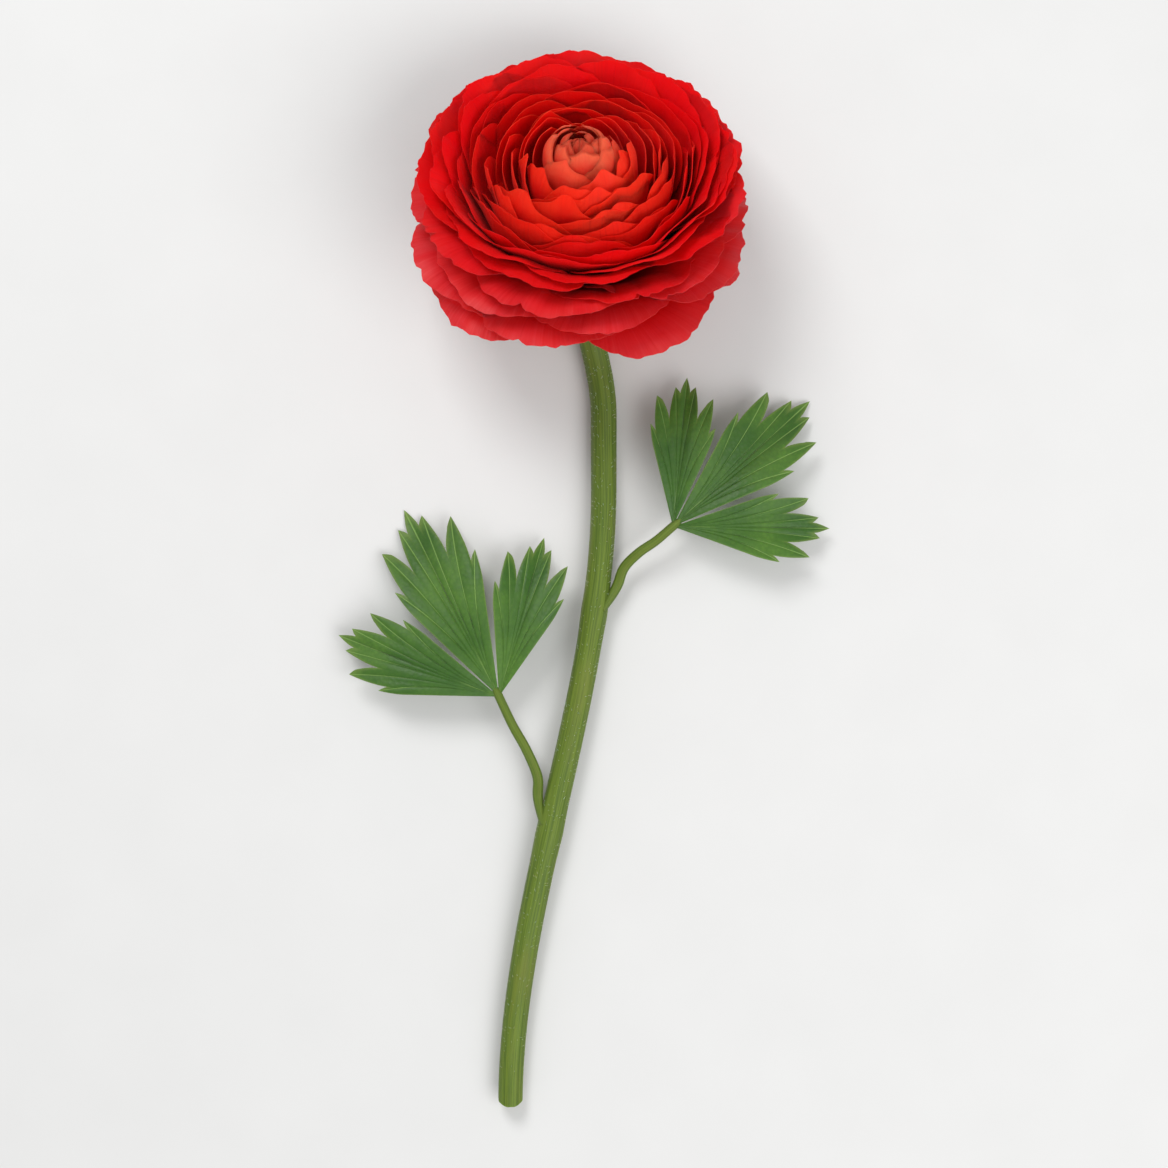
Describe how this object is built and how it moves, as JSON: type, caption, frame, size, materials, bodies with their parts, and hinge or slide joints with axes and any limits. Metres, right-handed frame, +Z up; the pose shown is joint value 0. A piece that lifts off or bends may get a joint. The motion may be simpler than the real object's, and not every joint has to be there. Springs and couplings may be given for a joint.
{
  "type": "persian buttercup flower",
  "caption": "Cut red Persian buttercup lying down: a dense double bloom of thin wrapped petals, bent-back sepals, a nodding neck, a long stem and toothed, lobed leaves.",
  "frame": {"origin": "on the table, at the centre of the box around the whole flower", "axes": "+Y along the stem towards the bloom, +Z up from the table, +X to the right of someone who looks along +Y from above"},
  "size_m": [0.1318, 0.2796, 0.0699],
  "materials": {
    "petal_red": "satin petal, thin and slightly translucent",
    "sepal_green": "matte, downy",
    "stem_green": "matte, finely ridged and hairy",
    "leaf_green": "matte leaf"
  },
  "bodies": {
    "root": {"bloom": "petal_red", "calyx": "sepal_green", "stem": "stem_green", "leaf_upper": "leaf_green", "leaf_lower": "leaf_green"}
  },
  "joints": []
}
